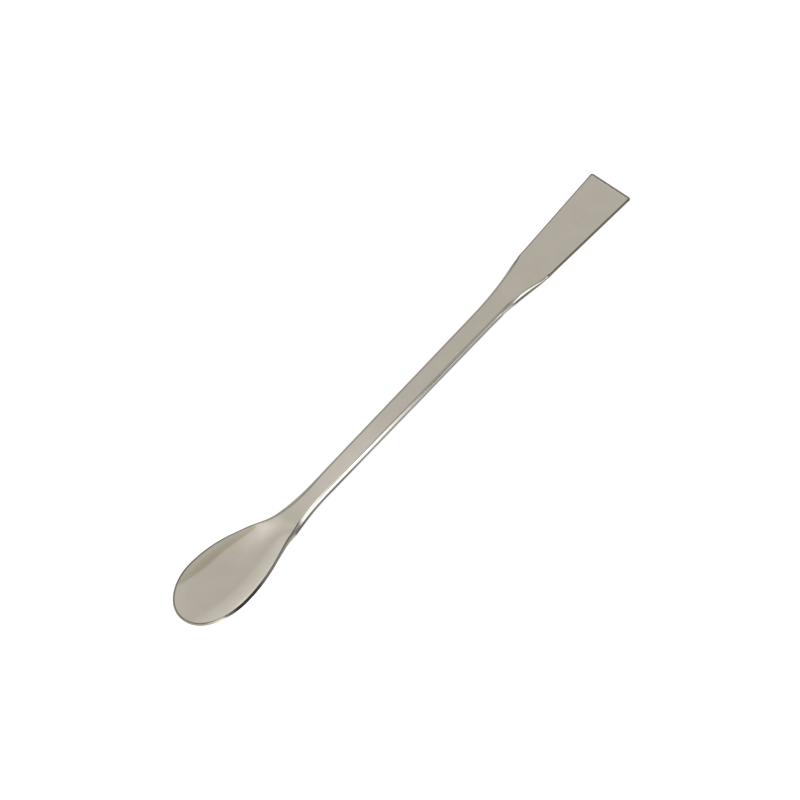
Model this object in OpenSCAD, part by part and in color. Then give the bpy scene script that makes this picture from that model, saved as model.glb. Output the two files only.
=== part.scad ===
// Double-ended laboratory spatula: a small dished spoon at one end and a thin, square-ended
// blade at the other, forged from a single flat bar of stainless steel.
// X runs along the tool, from the spoon to the blade, and Z is up. The flat underside of the
// stem lies on Z = 0, with the origin under the middle of the tool's length.
//
// The tool is one skin over a plan outline. Its top surface is a floor line along X, dished
// across the spoon to a radius. Its underside is that surface moved down its own normals by the
// thickness of the metal, and a crowned edge runs round the whole outline between the two.

/* [Overall] */
// Length from the nose of the spoon to the end of the blade
tool_length = 150; // [116:1:210]

/* [Spoon] */
// Width over the rim, where the spoon is widest
spoon_width = 16.4; // [12:0.1:20]
// From the nose to the place where the spoon is widest
nose_length = 12; // [9:0.1:17]
// From the widest place to where the outline joins the stem
neck_length = 35.4; // [28:0.2:40]
// How square the nose is: 2 gives an ellipse
nose_fullness = 2.15; // [2:0.01:2.8]
// How steeply the dish meets the rim, in degrees
rim_angle = 37; // [24:1:45]
// From the nose to where the stem begins to dish
dish_run = 37.5; // [32:0.5:40]
// Length over which the dish builds up
dish_fade = 8.5; // [5:0.5:14]
// How far the floor of the spoon lies above the top of the stem
floor_lift = 1.8; // [0:0.1:4]
// Length over which the neck climbs to that floor
lift_run = 25; // [20:0.5:32]
// From the nose to where the floor begins to rise again
nose_run = 15.6; // [12:0.2:20]
// How far it has risen at the nose
nose_lift = 1.57; // [0.4:0.01:2.4]
// Thickness of the metal at the rim
spoon_wall = 0.8; // [0.6:0.05:1.2]
// From the nose to where the metal has thinned to that wall
wall_run = 24; // [18:0.5:28]
// Length over which the metal thins from the stem to the wall
wall_taper = 18; // [12:0.5:20]
// Crown of the rim: how far its middle stands out from its edges
rim_crown = 0.02; // [0.01:0.01:0.3]

/* [Stem] */
// Thickness of the bar
stem_thickness = 2.2; // [1.6:0.05:3]
// Width of the stem where it meets the spoon's neck
stem_width_spoon = 4.8; // [4:0.05:6.5]
// Width of the stem where it meets the blade's flare
stem_width_blade = 5.15; // [4:0.05:6.5]
// Crown of the bar's long sides along the middle and the flare
side_crown = 0.65; // [0.1:0.05:1.05]
// Crown at the neck, where the sides are polished nearly half round
neck_crown = 1.05; // [0.2:0.05:1.05]
// Length over which the crown changes from one to the other
crown_fade = 17; // [8:0.5:18]

/* [Blade] */
// Width of the blade at its end
blade_width = 11.05; // [8.5:0.05:15]
// Angle that each side of the blade makes with the centre line
blade_angle = 2.4; // [0:0.1:3]
// From the end of the blade to where its sides begin to turn in
blade_length = 26.3; // [20:0.1:32]
// Length of the flare between the stem and the blade
flare_length = 21; // [14:0.5:26]
// Thickness of the blade
blade_thickness = 0.9; // [0.6:0.05:1.4]
// Length over which the bar is drawn down to the blade's thickness
draw_length = 11; // [8:0.5:14]
// Radius of the blade's two corners, in plan
corner_radius = 0.6; // [0.2:0.1:2]
// Crown of the blade's edges
blade_crown = 0.08; // [0.05:0.01:0.28]
// Length at the end of the flare over which the stem's crown gives way to it
blade_crown_fade = 3; // [2:0.5:6]

/* [Mesh] */
// Steps round the nose
nose_steps = 14; // [8:1:20]
// Steps along the neck
neck_steps = 26; // [12:1:36]
// Steps along the stem
stem_steps = 14; // [8:1:20]
// Steps along the flare
flare_steps = 16; // [8:1:20]
// Steps across the tool
cross_steps = 16; // [8:2:20]
// Steps round the crowned edge
edge_steps = 6; // [3:1:8]

/* [Hidden] */

nose_x = -tool_length / 2;
wide_x = nose_x + nose_length;
neck_x = wide_x + neck_length;
end_x = tool_length / 2;
blade_x = end_x - blade_length;
flare_x = blade_x - flare_length;
// Shares of a curve's run over which its slope builds up and dies away, as ease() takes them
neck_ease = [0.5, 0.35];
flare_ease = [0.65, 0.2];
lift_ease = [0.1, 0.75];
even_ease = [0.5, 0.5];
// The nose is cut off square at this half width, too small to see
nose_flat = 0.25;
// A crown is at most this share of the thickness, which is just short of a half round
crown_limit = 0.49;
// Share of the drawn length that lies in the flare
draw_lead = 0.8;
blade_steps = 4;
corner_steps = 4;
// Half step for a slope taken by difference
dx = 0.001;

// 0 to 1 as u goes from 0 to 1. The slope builds up over the first share of the way, holds,
// and dies away over the last share.
function ease(u, shares) =
    let (v = min(max(u, 0), 1), first = shares[0], last = shares[1],
        peak = 1 / (1 - first / 2 - last / 2))
    v < first ? peak * v * v / (2 * first)
    : v < 1 - last ? peak * (v - first / 2)
    : 1 - peak * (1 - v) * (1 - v) / (2 * last);
function mix(a, b, t) = a + (b - a) * t;
function unit(v) = v / norm(v);

// Plan outline: half the width at x
function nose_half(x) =
    spoon_width / 2 * pow(1 - pow((wide_x - x) / nose_length, 2), 1 / nose_fullness);
function stem_half(x) =
    mix(stem_width_spoon, stem_width_blade, min(max((x - neck_x) / (flare_x - neck_x), 0), 1)) / 2;
function blade_half(x) = blade_width / 2 - (end_x - x) * tan(blade_angle);
function half_width(x) =
    x < wide_x ? nose_half(x)
    : x < neck_x ? mix(stem_half(x), spoon_width / 2, ease((neck_x - x) / neck_length, neck_ease))
    : mix(stem_half(x), blade_half(x), ease((x - flare_x) / flare_length, flare_ease));

// 0 in the spoon and 1 in the stem
function to_stem(x) = ease((x - nose_x - wall_run) / wall_taper, even_ease);
function thickness(x) =
    x < 0 ? mix(spoon_wall, stem_thickness, to_stem(x))
    : mix(stem_thickness, blade_thickness, ease((x - blade_x) / draw_length + draw_lead, even_ease));
function stem_crown(x) =
    mix(side_crown, neck_crown, ease((neck_x - x) / crown_fade + 0.5, even_ease));
function crown(x) =
    min(crown_limit * thickness(x), x < 0 ? mix(rim_crown, stem_crown(x), to_stem(x))
        : mix(stem_crown(x), blade_crown, ease((x - blade_x) / blade_crown_fade + 1, even_ease)));

// Top surface. The floor line climbs through the neck and again at the nose, and the bar is
// drawn down into the blade evenly from both faces. Across the spoon the floor is an arc,
// which meets the rim at the same angle all the way from the neck to the widest place and
// keeps its radius from there to the nose.
function floor_z(x) =
    (stem_thickness + (x < 0 ? stem_thickness : thickness(x))) / 2
    + floor_lift * ease((wide_x + lift_run - x) / lift_run, lift_ease)
    + nose_lift * pow(max(nose_x + nose_run - x, 0) / nose_run, 2);
function curvature(x) =
    sin(rim_angle * ease((nose_x + dish_run - x) / dish_fade, even_ease))
    / half_width(max(x, wide_x));
function top_z(x, y) =
    let (k = curvature(x)) floor_z(x) + k * y * y / (1 + sqrt(1 - pow(k * y, 2)));
function slope_x(x, y) = (top_z(x + dx, y) - top_z(x - dx, y)) / (2 * dx);
function slope_y(x, y) = (top_z(x, y + dx) - top_z(x, y - dx)) / (2 * dx);
function top_point(x, y) = [x, y, top_z(x, y)];
function normal(x, y) = unit([-slope_x(x, y), -slope_y(x, y), 1]);
function under_point(x, y) = top_point(x, y) - thickness(x) * normal(x, y);

// The crowned edge is an arc between the two surfaces: its half angle and its radius
function edge_angle(x) = 2 * atan(2 * crown(x) / thickness(x));
function edge_radius(x) = thickness(x) / 2 / sin(edge_angle(x));
// How far the edge stands out in plan from the top surface that it starts at, where that
// surface leans outwards at the angle lean
function edge_reach(x, lean) =
    let (half = thickness(x) / 2, angle = edge_angle(x))
    half * sin(lean)
    + (lean < angle ? edge_radius(x) * (1 - cos(angle) * cos(lean)) : half * sin(lean));
// Where the top surface ends, so that the edge just reaches the outline at [x, y]. The
// direction is the outward one, in plan.
function top_edge(x, y, direction) =
    let (inner = [x, y] - direction * thickness(x) / 2,
        lean = atan(direction * [slope_x(inner[0], inner[1]), slope_y(inner[0], inner[1])]))
    [x, y] - direction * edge_reach(x, lean);
// A point on the edge that starts at the top surface's [x, y], at share v of the way down
function edge_point(x, y, direction, v) =
    let (angle = edge_angle(x), radius = edge_radius(x), a = mix(-angle, angle, v),
        outward = unit([direction[0], direction[1],
            direction * [slope_x(x, y), slope_y(x, y)]]))
    top_point(x, y) - normal(x, y) * (thickness(x) / 2 + radius * sin(a))
    + outward * radius * (cos(a) - cos(angle));

// Stations along the outline, each [x, half width, outward direction in plan]
function station(x) =
    let (slope = (half_width(x + dx) - half_width(x - dx)) / (2 * dx))
    [x, half_width(x), unit([-slope, 1])];
nose_angle = asin(pow(nose_flat / (spoon_width / 2), nose_fullness / 2));
corner_x = end_x - corner_radius;
corner_y = blade_half(corner_x) - corner_radius / cos(blade_angle);
stations = concat(
    [[wide_x - nose_length * cos(nose_angle), nose_flat, [-1, 0]]],
    [for (i = [1 : nose_steps - 1])
        station(wide_x - nose_length * cos(mix(nose_angle, 90, i / nose_steps)))],
    [for (i = [0 : neck_steps - 1]) station(mix(wide_x, neck_x, i / neck_steps))],
    [for (i = [0 : stem_steps - 1]) station(mix(neck_x, flare_x, i / stem_steps))],
    [for (i = [0 : flare_steps - 1]) station(mix(flare_x, blade_x, i / flare_steps))],
    [for (i = [0 : blade_steps - 1]) station(mix(blade_x, corner_x, i / blade_steps))],
    [for (i = [0 : corner_steps]) let (a = mix(-blade_angle, 90, i / corner_steps))
        [corner_x + corner_radius * sin(a), corner_y + corner_radius * cos(a),
            [sin(a), cos(a)]]]);
last = len(stations) - 1;
// The top surface's own edge at each station, as [x, y] with y the half width there
rims = [for (s = stations) top_edge(s[0], s[1], s[2])];

// Both surfaces are grids of a row for each station and a column for each step across.
row = cross_steps + 1;
function across(j) = 2 * j / cross_steps - 1;
top_points = [for (rim = rims) for (j = [0 : cross_steps])
    top_point(rim[0], rim[1] * across(j))];
under_points = [for (rim = rims) for (j = [0 : cross_steps])
    under_point(rim[0], rim[1] * across(j))];
// The way round the outline, each place as [station, column, outward direction in plan]
loop = concat(
    [for (i = [0 : last]) [i, 0, [stations[i][2][0], -stations[i][2][1]]]],
    [for (j = [1 : cross_steps - 1]) [last, j, [1, 0]]],
    [for (i = [last : -1 : 0]) [i, cross_steps, stations[i][2]]],
    [for (j = [cross_steps - 1 : -1 : 1]) [0, j, [-1, 0]]]);
round = len(loop);
edge_points = [for (e = [1 : edge_steps - 1]) for (p = loop)
    let (rim = rims[p[0]])
    edge_point(rim[0], rim[1] * across(p[1]), p[2], e / edge_steps)];

surface_count = len(top_points);
function surface_index(i, j) = i * row + j;
// Number of the point at place p of the loop on level e of the edge: the top surface is level
// 0, and the underside is the last level
function edge_index(e, p) =
    let (place = loop[p % round], on_surface = surface_index(place[0], place[1]))
    e == 0 ? on_surface
    : e == edge_steps ? surface_count + on_surface
    : 2 * surface_count + (e - 1) * round + p % round;
// Two triangles for a grid cell with the corners a, b, c, d in turn
function cell(a, b, c, d) = [[a, b, c], [a, c, d]];
surface_faces = [for (i = [0 : last - 1]) for (j = [0 : cross_steps - 1])
    let (a = surface_index(i, j), b = surface_index(i, j + 1),
        c = surface_index(i + 1, j + 1), d = surface_index(i + 1, j),
        quad = j < cross_steps / 2 ? [a, b, c, d] : [b, c, d, a])
    for (face = cell(quad[0], quad[1], quad[2], quad[3])) face];
under_faces = [for (face = surface_faces)
    [face[2] + surface_count, face[1] + surface_count, face[0] + surface_count]];
edge_faces = [for (e = [0 : edge_steps - 1]) for (p = [0 : round - 1])
    for (face = cell(edge_index(e, p), edge_index(e, p + 1),
        edge_index(e + 1, p + 1), edge_index(e + 1, p))) face];

// The whole tool, forged in one piece and polished all over
module spatula() {
    color([0.66, 0.63, 0.58])
        polyhedron(points = concat(top_points, under_points, edge_points),
            faces = concat(surface_faces, under_faces, edge_faces), convexity = 6);
}

spatula();
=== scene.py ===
"""A double-ended stainless steel laboratory spatula, seen from above on a white studio table.

The script runs from top to bottom: the tool with its polish, the table that it lies on, the
light round it and the camera.
"""

import math

import bpy
import numpy as np
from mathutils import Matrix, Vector


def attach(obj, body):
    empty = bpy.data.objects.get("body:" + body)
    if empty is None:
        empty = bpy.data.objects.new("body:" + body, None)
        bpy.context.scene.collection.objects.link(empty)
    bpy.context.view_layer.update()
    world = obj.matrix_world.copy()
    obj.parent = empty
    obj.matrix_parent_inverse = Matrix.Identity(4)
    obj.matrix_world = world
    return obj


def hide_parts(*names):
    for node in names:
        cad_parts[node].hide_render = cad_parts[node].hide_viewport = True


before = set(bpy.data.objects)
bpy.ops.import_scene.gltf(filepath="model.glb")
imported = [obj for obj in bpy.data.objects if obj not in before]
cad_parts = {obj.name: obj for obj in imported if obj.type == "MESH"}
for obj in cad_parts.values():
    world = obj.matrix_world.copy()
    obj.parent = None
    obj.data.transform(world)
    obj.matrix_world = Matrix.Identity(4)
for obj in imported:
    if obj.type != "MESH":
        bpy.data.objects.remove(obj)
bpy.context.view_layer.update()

# ---------------------------------------------------------------------------------------------
# The spatula itself: one bar of stainless steel, forged at one end into a small dished spoon
# and drawn out at the other into a thin blade, then ground to its outline and polished all
# over. Sizes in this section are in millimetres and agree with the CAD solid.

tool_length = 150.0
nose_x = -tool_length / 2
end_x = tool_length / 2
spoon_width, nose_length, neck_length, nose_fullness = 16.4, 12.0, 35.4, 2.15
rim_angle, dish_run, dish_fade = math.radians(37), 37.5, 8.5
floor_lift, lift_run, nose_lift, nose_run = 1.8, 25.0, 1.57, 15.6
spoon_wall, wall_run, wall_taper, rim_crown = 0.8, 24.0, 18.0, 0.02
stem_thickness, stem_width_spoon, stem_width_blade = 2.2, 4.8, 5.15
side_crown, neck_crown, crown_fade, crown_limit = 0.65, 1.05, 17.0, 0.49
blade_width, blade_angle, blade_length = 11.05, math.radians(2.4), 26.3
flare_length, blade_thickness, draw_length, draw_lead = 21.0, 0.9, 11.0, 0.8
corner_radius, blade_crown, blade_crown_fade = 0.6, 0.08, 3.0
wide_x = nose_x + nose_length
neck_x = wide_x + neck_length
blade_x = end_x - blade_length
flare_x = blade_x - flare_length
# Shares of a curve's run over which its slope builds up and dies away
neck_ease, flare_ease, lift_ease, even_ease = (0.5, 0.35), (0.65, 0.2), (0.1, 0.75), (0.5, 0.5)


def mix(a, b, t):
    """a where t is 0, b where t is 1, and in proportion between."""
    return a + (b - a) * t


def ease(u, shares):
    """0 to 1 as u goes from 0 to 1: the slope builds up in a straight line over the first
    share of the way, holds, and dies away over the last share."""
    v = np.clip(u, 0, 1)
    first, final = shares
    peak = 1 / (1 - first / 2 - final / 2)
    return np.select(
        [v < first, v < 1 - final],
        [peak * v * v / (2 * first), peak * (v - first / 2)],
        1 - peak * (1 - v) ** 2 / (2 * final))


def half_width(x):
    """Half the plan width: a squared ellipse round the nose, then eased from the spoon's width
    to the stem's, along the stem's slight taper, and eased out to the blade's straight side."""
    round_the_nose = np.clip((wide_x - x) / nose_length, 0, 1)
    nose = spoon_width / 2 * (1 - round_the_nose**2) ** (1 / nose_fullness)
    along_stem = np.clip((x - neck_x) / (flare_x - neck_x), 0, 1)
    stem = mix(stem_width_spoon, stem_width_blade, along_stem) / 2
    neck = mix(stem, spoon_width / 2, ease((neck_x - x) / neck_length, neck_ease))
    blade = blade_width / 2 - (end_x - x) * math.tan(blade_angle)
    flare = mix(stem, blade, ease((x - flare_x) / flare_length, flare_ease))
    return np.select([x < wide_x, x < neck_x], [nose, neck], flare)


def to_stem(x):
    """0 in the spoon and 1 in the stem."""
    return ease((x - nose_x - wall_run) / wall_taper, even_ease)


def thickness(x):
    """The thin wall of the spoon, the full bar of the stem, the thin blade."""
    drawn = ease((x - blade_x) / draw_length + draw_lead, even_ease)
    return np.where(x < 0, mix(spoon_wall, stem_thickness, to_stem(x)),
                    mix(stem_thickness, blade_thickness, drawn))


def crown(x):
    """How far the middle of the edge stands out from its corners: nearly half round at the
    neck, and almost flat round the spoon and the blade."""
    stem = mix(side_crown, neck_crown, ease((neck_x - x) / crown_fade + 0.5, even_ease))
    at_blade = ease((x - blade_x) / blade_crown_fade + 1, even_ease)
    chosen = np.where(x < 0, mix(rim_crown, stem, to_stem(x)), mix(stem, blade_crown, at_blade))
    return np.minimum(chosen, crown_limit * thickness(x))


def top_height(x, y):
    """Height of the top surface: the floor line, which climbs through the neck and again at
    the nose, plus an arc across the spoon whose slope at the rim is the rim angle."""
    floor = ((stem_thickness + np.where(x < 0, stem_thickness, thickness(x))) / 2
             + floor_lift * ease((wide_x + lift_run - x) / lift_run, lift_ease)
             + nose_lift * (np.maximum(nose_x + nose_run - x, 0) / nose_run) ** 2)
    dish = rim_angle * ease((nose_x + dish_run - x) / dish_fade, even_ease)
    k = np.sin(dish) / half_width(np.maximum(x, wide_x))
    return floor + k * y * y / (1 + np.sqrt(np.maximum(1 - (k * y) ** 2, 0)))


def top_slopes(x, y, step=0.001):
    """Slopes of the top surface along X and across, by central differences."""
    along = (top_height(x + step, y) - top_height(x - step, y)) / (2 * step)
    across = (top_height(x, y + step) - top_height(x, y - step)) / (2 * step)
    return along, across


def unit(v):
    """Each row of v, at length 1."""
    return v / np.linalg.norm(v, axis=-1, keepdims=True)


def skin(x, y, depth):
    """Points the given depth under the top surface, along its own normals."""
    along, across = top_slopes(x, y)
    normal = unit(np.stack([-along, -across, np.ones_like(x)], -1))
    return np.stack([x, y, top_height(x, y)], -1) - np.asarray(depth)[..., None] * normal


def outline():
    """Plan outline from the nose to the end of the blade, as x, half width and the outward
    direction. Round the nose the stations go by equal angles, and round the blade's corner
    they follow its small arc."""
    nose_flat, step = 0.12, 0.001
    nose_count, neck_count, stem_count, flare_count, blade_count, corner_count = (
        90, 170, 120, 110, 50, 9)
    first_angle = math.asin((nose_flat / (spoon_width / 2)) ** (nose_fullness / 2))
    nose = wide_x - nose_length * np.cos(np.linspace(first_angle, math.pi / 2, nose_count)[:-1])
    corner_x = end_x - corner_radius
    corner_y = half_width(np.array(corner_x)) - corner_radius / math.cos(blade_angle)
    x = np.concatenate([nose,
                        np.linspace(wide_x, neck_x, neck_count, endpoint=False),
                        np.linspace(neck_x, flare_x, stem_count, endpoint=False),
                        np.linspace(flare_x, blade_x, flare_count, endpoint=False),
                        np.linspace(blade_x, corner_x, blade_count, endpoint=False)])
    y = half_width(x)
    slope = (half_width(x + step) - half_width(x - step)) / (2 * step)
    facing = unit(np.stack([-slope, np.ones_like(x)], -1))
    facing[0] = (-1, 0)
    turn = np.linspace(-blade_angle, math.pi / 2, corner_count)
    corner = np.stack([np.sin(turn), np.cos(turn)], -1)
    x = np.concatenate([x, corner_x + corner_radius * corner[:, 0]])
    y = np.concatenate([y, corner_y + corner_radius * corner[:, 1]])
    return x, y, np.concatenate([facing, corner])


def rim_of_top(x, y, facing):
    """Where the top surface ends, so that the crowned edge beyond it just reaches the plan
    outline, given how far the surface leans outwards there."""
    half = thickness(x) / 2
    inner_x, inner_y = x - facing[:, 0] * half, y - facing[:, 1] * half
    along, across = top_slopes(inner_x, inner_y)
    lean = np.arctan(facing[:, 0] * along + facing[:, 1] * across)
    angle = 2 * np.arctan(crown(x) / half)
    radius = half / np.sin(angle)
    bulge = radius * (1 - np.cos(angle) * np.cos(lean))
    reach = half * np.sin(lean) + np.where(lean < angle, bulge, half * np.sin(lean))
    return x - facing[:, 0] * reach, y - facing[:, 1] * reach


def edge_arc(x, y, facing, share):
    """The crowned edge: an arc from the top surface's corner at share 0 to the underside's
    corner at share 1, standing out by the crown half way down."""
    half = thickness(x) / 2
    angle = 2 * np.arctan(crown(x) / half)
    radius = half / np.sin(angle)
    along, across = top_slopes(x, y)
    outward = unit(np.stack([facing[:, 0], facing[:, 1],
                             facing[:, 0] * along + facing[:, 1] * across], -1))
    a = mix(-angle, angle, share)
    return (skin(x, y, half + radius * np.sin(a))
            + outward * (radius * (np.cos(a) - np.cos(angle)))[:, None])


def step_up(value, start, finish):
    """0 up to the start and 1 from the finish on, eased between."""
    t = np.clip((value - start) / (finish - start), 0, 1)
    return t * t * (3 - 2 * t)


def marked(x, *marks):
    """The value at x, in straight lines between marks of a place along the tool and a value."""
    places, values = zip(*marks)
    return np.interp(x, places, values)


def edge_satin_and_shade(x, y, facing, side, share):
    """How much rough satin and painted shade the edge gets, from 0 to 1, by how far it has turned
    down from facing straight up, in degrees. The painted shade is a near-black colour that stands
    for the dark reflections outlining the tool. Round the spoon some is on all of the edge. Along
    the stem and the blade it is strong past a turn given along the tool, and lighter higher up:
    on the right in the half nearer the blade, on the left all along."""
    along, across = top_slopes(x, y)
    lean = np.arctan(facing[:, 0] * along + facing[:, 1] * across)
    angle = 2 * np.arctan(2 * crown(x) / thickness(x))
    turned = np.degrees(math.pi / 2 - lean + mix(-angle, angle, share))

    right_rim = marked(x, (-73, 0.65), (-71, 0.3), (-69.8, 0.1), (-68, 0.7), (-66, 1), (-58, 1),
                       (-56, 0.92), (-48, 0.8), (-44, 0.7), (-38, 0.62), (-36.5, 0))
    left_rim = marked(x, (-73, 0.7), (-66, 0.75), (-56, 0.7), (-46, 0.6), (-42, 0))
    rim = np.where(side < 0, right_rim, left_rim)

    # The turn past which the painted shade is strong, and how strong, along the tool
    shade_start_turn = marked(x, (-40, 48), (-36, 50), (-30, 55), (-24, 58), (-15, 62), (33, 62),
                         (34, 35), (36.5, 35), (37.5, 60), (42, 60), (44, 58), (47, 57), (49, 45))
    shade_below_share = marked(x, (-42, 0), (-40, 1), (-22, 0.95), (-12, 0.86), (33, 0.88), (34, 0.5),
                         (36.5, 0.6), (38, 1), (46, 0.95), (49, 0.7))
    below = shade_below_share * step_up(turned, shade_start_turn, shade_start_turn + 10)

    right_side = marked(x, (-12, 0), (0, 0.25), (8, 0.45), (20, 0.6), (31, 0.6), (34, 0))
    left_side = marked(x, (-46, 0), (-42, 0.45), (42, 0.45), (50, 0.65))
    above = np.where(side < 0, right_side * step_up(turned, 48, 56),
                     left_side * step_up(turned, 10, 25))
    return np.maximum.reduce([rim, above, below])


def corner_satin_and_shade(x, side):
    """The rough satin and painted shade, a near-black standing for dark reflections, on the small
    rounded corner between the face and the edge: about even along the left, most at the blade's
    end, and on the right in patches that come and go along the tool."""
    right = marked(x, (-73, 0.5), (-71, 0.2), (-69.5, 0), (-55, 0), (-50, 0.6), (-44, 0.8), (-38, 1),
                   (-36.5, 0), (-22, 0.05), (-10, 0.5), (14, 0.2), (31, 0.1), (34, 0.2), (36, 0.6),
                   (38, 0), (46, 0), (50, 0.38))
    left = marked(x, (-75, 0.5), (-66, 0.6), (-56, 0.6), (-45, 0.4), (45, 0.4), (48, 0.6), (73, 0.6),
                  (74, 0.85))
    return np.where(side < 0, right, left)


def way_round(stations, columns):
    """The way round a face's grid, as the station and the column of each place: along the
    right side, over the blade's end, back along the left side and round the nose."""
    along, across = np.arange(stations), np.arange(1, columns)
    station = [along, np.full(columns - 1, stations - 1), along[::-1], np.zeros(columns - 1, int)]
    column = [np.zeros(stations, int), across, np.full(stations, columns), across[::-1]]
    return np.concatenate(station), np.concatenate(column)


def rounded(start, corner, finish, steps):
    """Rows of points on the parabola from start to finish that the corner pulls towards."""
    shares = np.linspace(0, 1, steps + 1)[1:-1]
    return [(1 - t) ** 2 * start + 2 * t * (1 - t) * corner + t * t * finish for t in shares]


def corner_size(x, side):
    """The size of the small rounded corners, in millimetres: crisp on the right of the spoon's
    rim, softer on its left, and larger round the thin blade."""
    right = marked(x, (-74, 0.25), (-70, 0.1), (-60, 0.1), (-45, 0.15), (46, 0.15), (50, 0.4),
                   (73.5, 0.4), (75, 0.6))
    left = marked(x, (-74, 0.25), (46, 0.25), (50, 0.45), (73.5, 0.45), (75, 0.6))
    return np.where(side < 0, right, left)


def spatula_skin(columns=44, arc_steps=10, corner_steps=4, under_satin_and_shade=0.8):
    """The closed skin, as points, quads and the share of rough satin and painted shade at each
    point. Both faces are grids of stations by columns. Rows round the whole outline join them: a
    small rounded corner, the crowned edge, and a rounded corner again, which keeps at least the
    underside's share, a painted shade along the tool's lower corners."""
    x, y, facing = outline()
    rim_x, rim_y = rim_of_top(x, y, facing)
    stations, share_across = len(x), np.linspace(-1, 1, columns + 1)
    right_x, right_y = np.stack([rim_x, rim_y]) - facing.T * corner_size(x, -1)
    left_x, left_y = np.stack([rim_x, rim_y]) - facing.T * corner_size(x, 1)
    from_right = (share_across + 1) / 2
    grid_x = mix(right_x[:, None], left_x[:, None], from_right)
    grid_y = mix(-right_y[:, None], left_y[:, None], from_right)
    top = skin(grid_x, grid_y, np.zeros_like(grid_x))
    under = skin(grid_x, grid_y, thickness(grid_x))

    station, column = way_round(stations, columns)
    side = np.repeat([-1, 0, 1, 0], [stations, columns - 1, stations, columns - 1])
    face_x = np.repeat([0, 1, 0, -1], [stations, columns - 1, stations, columns - 1])
    loop_facing = np.where((side == 0)[:, None], np.stack([face_x, 0 * face_x], -1),
                           facing[station] * np.stack([np.ones(len(side)), side], -1))
    loop_x, loop_y = rim_x[station], rim_y[station] * share_across[column]
    wall = thickness(loop_x)
    arc_length = wall * (1 + 2 * (crown(loop_x) / wall) ** 2)
    inset = corner_size(loop_x, side) / arc_length
    shares = [mix(inset, 1 - inset, v) for v in np.linspace(0, 1, arc_steps + 1)]
    arc = [edge_arc(loop_x, loop_y, loop_facing, share) for share in shares]
    top_rim, under_rim = top[station, column], under[station, column]
    rows = (rounded(top_rim, skin(loop_x, loop_y, 0 * wall), arc[0], corner_steps) + arc
            + rounded(arc[-1], skin(loop_x, loop_y, wall), under_rim, corner_steps))
    # Each row's share of rough satin and painted shade
    edge_rows_satin_and_shade = [edge_satin_and_shade(loop_x, loop_y, loop_facing, side, share) for share in shares]
    upper = [np.maximum(corner_satin_and_shade(loop_x, side), edge_rows_satin_and_shade[0])] * (corner_steps - 1)
    lower = [np.maximum(edge_rows_satin_and_shade[-1], under_satin_and_shade)] * (corner_steps - 1)
    satin_and_shade = upper + edge_rows_satin_and_shade + lower

    points = np.concatenate([top.reshape(-1, 3), under.reshape(-1, 3)] + rows)
    satin_and_shade = np.concatenate([np.zeros(2 * top[..., 0].size)] + satin_and_shade)
    number = np.arange(top[..., 0].size).reshape(stations, columns + 1)
    cells = np.stack([number[:-1, :-1], number[1:, :-1], number[1:, 1:], number[:-1, 1:]], -1)
    round_count = len(station)
    levels = np.stack([number[station, column]]
                      + [2 * number.size + e * round_count + np.arange(round_count)
                         for e in range(len(rows))]
                      + [number.size + number[station, column]])
    after = np.roll(levels, -1, axis=1)
    band = np.stack([levels[:-1], levels[1:], after[1:], after[:-1]], -1)
    quads = np.concatenate([cells.reshape(-1, 4), cells.reshape(-1, 4)[:, ::-1] + number.size,
                            band.reshape(-1, 4)])
    return points, quads, satin_and_shade


points_mm, quads, satin_and_shade = spatula_skin()
mesh = bpy.data.meshes.new("spatula_steel")
mesh.from_pydata((points_mm / 1000).tolist(), [], quads.tolist())
mesh.polygons.foreach_set("use_smooth", np.ones(len(quads), bool))
# Each point's share of rough satin and painted shade, the near-black standing for the edges' dark
# reflections
mesh.attributes.new("ground_edge", "FLOAT", "POINT").data.foreach_set("value", satin_and_shade)
mesh.update()
spatula = bpy.data.objects.new("spatula_steel", mesh)
bpy.context.collection.objects.link(spatula)
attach(spatula, "root")
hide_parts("spatula")

# Its polish: warm grey stainless steel, buffed bright along the tool. The wheel leaves faint
# lengthwise lines and soft cloudy patches. The edges are a rougher satin, and their near-black
# colour is painted shade, standing for the dark reflections that outline the tool.
bright, bright_roughness = (0.66, 0.608, 0.525, 1), 0.08
# Near-black: painted shade for the dark reflections along the edges, with a rougher satin
painted_shade_colour, satin_roughness = (0.036, 0.036, 0.037, 1), 0.3
line_length, line_width, cloud_size = 1 / 60, 1 / 4000, 1 / 220
line_tone, cloud_tone, line_roughness = 0.1, 0.12, 0.04


class Socket:
    """Wraps a node's output so that + - * / on it build Math nodes."""

    def __init__(self, tree, output):
        self.tree, self.output = tree, output

    def math(self, operation, *others):
        return node(self.tree, "ShaderNodeMath", {"operation": operation}, [self, *others])

    def __add__(self, other):
        return self.math("ADD", other)

    def __sub__(self, other):
        return self.math("SUBTRACT", other)

    def __rsub__(self, other):
        return node(self.tree, "ShaderNodeMath", {"operation": "SUBTRACT"}, [other, self])

    def __mul__(self, other):
        return self.math("MULTIPLY", other)

    def __truediv__(self, other):
        return self.math("DIVIDE", other)


def node(tree, kind, settings, values, output=0):
    """Adds a node: its settings first, a ramp's stops among them, then each input in turn or
    by name, as a value or as a Socket to link. Returns its output."""
    made = tree.nodes.new(kind)
    for name, setting in settings.items():
        if name == "stops":
            while len(made.color_ramp.elements) < len(setting):
                made.color_ramp.elements.new(1)
            for stop, (place, colour) in zip(made.color_ramp.elements, setting):
                stop.position, stop.color = place, (*colour, 1)
        else:
            setattr(made, name, setting)
    named = values.items() if isinstance(values, dict) else enumerate(values)
    for key, value in named:
        if isinstance(value, Socket):
            tree.links.new(value.output, made.inputs[key])
        else:
            made.inputs[key].default_value = value
    return Socket(tree, made.outputs[output]) if made.outputs else made


def new_material(name):
    """An empty node material, and its tree."""
    material = bpy.data.materials.new(name)
    material.use_nodes = True
    material.node_tree.nodes.clear()
    return material, material.node_tree


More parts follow.
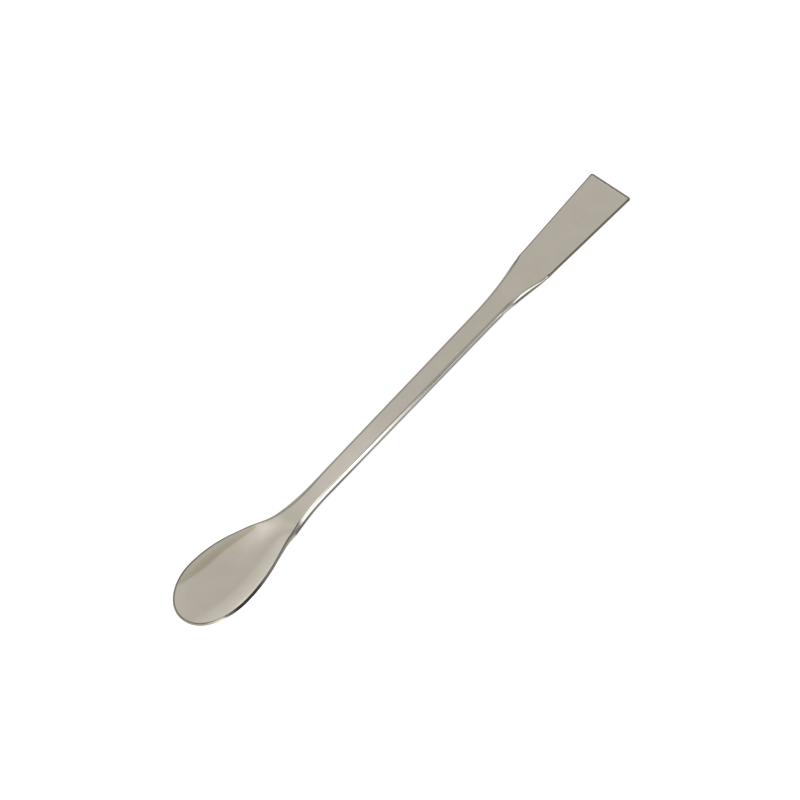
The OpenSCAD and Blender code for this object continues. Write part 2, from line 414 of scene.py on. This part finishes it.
steel, tree = new_material("polished_steel")
place = node(tree, "ShaderNodeTexCoord", {}, {}, "Object")
lengthwise = node(tree, "ShaderNodeMapping", {}, {
    "Vector": place, "Scale": (1 / line_length, 1 / line_width, 1 / line_width)})
lines = node(tree, "ShaderNodeTexNoise", {}, {"Vector": lengthwise, "Scale": 1.0, "Detail": 4.0,
                                              "Roughness": 0.6}) - 0.5
clouds = node(tree, "ShaderNodeTexNoise", {}, {
    "Vector": place, "Scale": 1 / cloud_size, "Detail": 3.0}) - 0.5
# The share of rough satin and painted shade: near-black colour for the edges' dark reflections
satin_shade_mask = node(tree, "ShaderNodeAttribute", {"attribute_name": "ground_edge"}, {}, "Fac")
colour = node(tree, "ShaderNodeMix", {"data_type": "RGBA"}, {0: satin_shade_mask, 6: bright, 7: painted_shade_colour}, 2)
toned = node(tree, "ShaderNodeVectorMath", {"operation": "SCALE"}, {
    "Vector": colour, "Scale": lines * line_tone + clouds * cloud_tone + 1.0})
roughness = (satin_shade_mask * (satin_roughness - bright_roughness) + lines * line_roughness
             + bright_roughness)
finish = node(tree, "ShaderNodeBsdfPrincipled", {}, {
    "Base Color": toned, "Metallic": 1.0, "Roughness": roughness})
node(tree, "ShaderNodeOutputMaterial", {}, {"Surface": finish})
mesh.materials.append(steel)

# ---------------------------------------------------------------------------------------------
# The table: a plain white sheet that the tool lies on. It shines a little of its own where it is
# seen, straight on or in the steel, so that it looks white and still takes the tool's shadow.

sheet_colour = (0.9, 0.9, 0.9, 1)
seen_glow, mirrored_glow = 0.7, 0.3
table_mesh = bpy.data.meshes.new("table")
reach = 8.0
table_mesh.from_pydata([(-reach, -reach, 0), (reach, -reach, 0), (reach, reach, 0),
                        (-reach, reach, 0)], [], [(0, 1, 2, 3)])
table = bpy.data.objects.new("table", table_mesh)
bpy.context.collection.objects.link(table)
white, tree = new_material("white_table")
sheet = node(tree, "ShaderNodeBsdfDiffuse", {}, {"Color": sheet_colour})
rays = tree.nodes.new("ShaderNodeLightPath")
reflected = Socket(tree, rays.outputs["Is Glossy Ray"])
seen = (Socket(tree, rays.outputs["Is Camera Ray"]) + reflected
        + Socket(tree, rays.outputs["Is Transmission Ray"])).math("MINIMUM", 1.0)
glow = node(tree, "ShaderNodeEmission", {}, {
    "Color": (1, 1, 1, 1), "Strength": reflected * mirrored_glow + seen_glow})
both = node(tree, "ShaderNodeAddShader", {}, [sheet, glow])
node(tree, "ShaderNodeOutputMaterial", {}, {
    "Surface": node(tree, "ShaderNodeMixShader", {}, [seen, sheet, both])})
table_mesh.materials.append(white)

# ---------------------------------------------------------------------------------------------
# The light: a pale tent over the table, open on the right to a darker room. A bright soft box
# stands low in the opening, and smaller cards stand nearer the tool, all out of the camera's
# sight. Bearings go clockwise, in degrees, from the direction that leads away from the camera.

world_strength = 1.2
daylight, skylight, lamplight = (0.92, 0.99, 1.12, 1), (0.75, 0.95, 1.35, 1), (1, 0.99, 1, 1)
opening_bearing, room_end_bearing = 72, 136
view_azimuth, view_elevation = math.radians(-51.6), math.radians(55.6)
right = Vector((math.cos(view_azimuth), math.sin(view_azimuth), 0))
away = Vector((-math.sin(view_azimuth), math.cos(view_azimuth), 0))

world = bpy.data.worlds.new("studio")
world.use_nodes = True
tree = world.node_tree
tree.nodes.clear()
direction = node(tree, "ShaderNodeTexCoord", {}, {}, "Generated")
height = node(tree, "ShaderNodeSeparateXYZ", {}, [direction], "Z")


def facing_share(bearing, width):
    """0 before the bearing and 1 beyond it, with a soft upright edge between."""
    turned = math.radians(bearing + 90)
    across_edge = away * math.cos(turned) + right * math.sin(turned)
    amount = node(tree, "ShaderNodeVectorMath", {"operation": "DOT_PRODUCT"},
                  [direction, tuple(across_edge)], "Value")
    return node(tree, "ShaderNodeMapRange", {"interpolation_type": "SMOOTHSTEP"},
                {"Value": amount, "From Min": -width, "From Max": width})


def grey(value, tint=(1, 1, 1)):
    """A grey of the value, tinted."""
    return tuple(value * t for t in tint)


# Their greys by height, from level with the table at 0 to straight overhead at 1
tent = node(tree, "ShaderNodeValToRGB", {"stops": [
    (0.0, grey(0.85)), (0.1, grey(0.7)), (0.36, grey(0.645)), (0.47, grey(0.6)),
    (0.55, grey(0.545)), (0.83, grey(0.545)), (1.0, grey(0.52))]}, [height])
room = node(tree, "ShaderNodeValToRGB", {"stops": [
    (0.0, grey(0.01)), (0.2, grey(0.03)), (0.32, grey(0.25)),
    (0.62, grey(0.42, (1, 0.98, 0.85))), (0.8, grey(0.42, (1, 0.98, 0.82))), (1.0, grey(0.5))]},
    [height])
dark_share = facing_share(opening_bearing, 0.03) * (1 - facing_share(room_end_bearing, 0.05))
sky = node(tree, "ShaderNodeMix", {"data_type": "RGBA"}, {0: dark_share, 6: tent, 7: room}, 2)
below_table, plain_white = height.math("LESS_THAN", 0.0), (*grey(1 / world_strength), 1)
around = node(tree, "ShaderNodeMix", {"data_type": "RGBA"}, {
    0: below_table, 6: sky, 7: plain_white}, 2)
background = node(tree, "ShaderNodeBackground", {}, {"Color": around, "Strength": world_strength})
node(tree, "ShaderNodeOutputWorld", {}, {"Surface": background})
bpy.context.scene.world = world


def heading(bearing, elevation):
    """The direction at the bearing and the elevation."""
    a, e = math.radians(bearing), math.radians(elevation)
    return (away * math.cos(a) + right * math.sin(a)) * math.cos(e) + Vector((0, 0, math.sin(e)))


def light_card(name, target, towards, distance, width, tall):
    """A glowing card that faces the target and shows only in reflections. Returns its material's
    tree and the places across it and up it, each from -1 to 1."""
    card_mesh = bpy.data.meshes.new(name)
    card_mesh.from_pydata([(-width / 2, -tall / 2, 0), (width / 2, -tall / 2, 0),
                           (width / 2, tall / 2, 0), (-width / 2, tall / 2, 0)], [], [(0, 1, 2, 3)])
    card = bpy.data.objects.new(name, card_mesh)
    card.location = target + towards * distance
    card.rotation_euler = towards.to_track_quat("Z", "Y").to_euler()
    card.visible_camera = card.visible_diffuse = card.visible_shadow = False
    bpy.context.collection.objects.link(card)
    material, tree = new_material(name)
    card_mesh.materials.append(material)
    on_card = node(tree, "ShaderNodeTexCoord", {}, {}, "Object")
    return (tree, node(tree, "ShaderNodeSeparateXYZ", {}, [on_card], "X") * (2 / width),
            node(tree, "ShaderNodeSeparateXYZ", {}, [on_card], "Y") * (2 / tall))


def shine(tree, strength, tint=daylight):
    """Makes the card add light of the given strength to what is seen through it."""
    clear = node(tree, "ShaderNodeBsdfTransparent", {}, {})
    light = node(tree, "ShaderNodeEmission", {}, {"Color": tint, "Strength": strength})
    node(tree, "ShaderNodeOutputMaterial", {}, {
        "Surface": node(tree, "ShaderNodeAddShader", {}, [clear, light])})


def between(value, low, high):
    """0 at low and 1 at high, in a straight line and level beyond."""
    return node(value.tree, "ShaderNodeMapRange", {},
                {"Value": value, "From Min": low, "From Max": high})


def patch(across, up, width, height):
    """1 in the middle of a card, falling off as the bell curve does. The width and the height
    are its spreads, as shares of the card's half sizes."""
    wide, tall = across / width, up / height
    return ((wide * wide + tall * tall) * -0.5).math("EXPONENT")


def at(x):
    """The place x millimetres along the tool, at about half its greatest height."""
    return Vector((x / 1000, 0, 0.003))


# The soft box, which lights the sides of the stem and the flare
tree, across, up = light_card("soft_box", at(0), heading(120, 24),
                              distance=0.32, width=0.27, tall=0.14)
shine(tree, between(across, 0.72, 0.66) * 2.0)
# A tall card close to the neck, fading towards the blade and at its top
tree, across, up = light_card("near_card", at(-13), heading(102, 22),
                              distance=0.1, width=0.044, tall=0.09)
shine(tree, between(across, 1.0, 0.1) * between(up, 1.0, 0.7) * 1.7)
# A low one beside the flare
tree, across, up = light_card("low_card", at(42), heading(112, 6),
                              distance=0.1, width=0.02, tall=0.022)
shine(tree, 1.5)
# A small reflector held over the neck, which widens the light along its side
tree, across, up = light_card("reflector", at(-32), heading(80, 52),
                              distance=0.018, width=0.016, tall=0.016)
shine(tree, patch(across, up, 0.6, 0.24) * 1.2)
# A pale window, which the left wall of the spoon shows along its rim
tree, across, up = light_card("window", at(-50), heading(93, 42),
                              distance=0.3, width=0.2, tall=0.2)
shine(tree, patch(across, up, 0.38, 0.3) * 0.17, skylight)
# A soft glow over the neck, which its hollow shows
tree, across, up = light_card("glow", at(-35), heading(46, 52.6),
                              distance=0.06, width=0.15, tall=0.15)
shine(tree, patch(across, up, 0.27, 0.135) * 0.36, lamplight)

# ---------------------------------------------------------------------------------------------
# The camera: a lens so long that the tool is seen without perspective.

seen_centre, seen_width = Vector((0.0021, 0.0010, 0.0011)), 0.17425
camera_data = bpy.data.cameras.new("camera")
camera_data.type = "ORTHO"
camera_data.ortho_scale = seen_width
camera = bpy.data.objects.new("camera", camera_data)
backwards = -away * math.cos(view_elevation) + Vector((0, 0, math.sin(view_elevation)))
camera.location = seen_centre + backwards
camera.rotation_euler = backwards.to_track_quat("Z", "Y").to_euler()
bpy.context.collection.objects.link(camera)
bpy.context.scene.camera = camera
bpy.context.scene.view_settings.view_transform = "Standard"
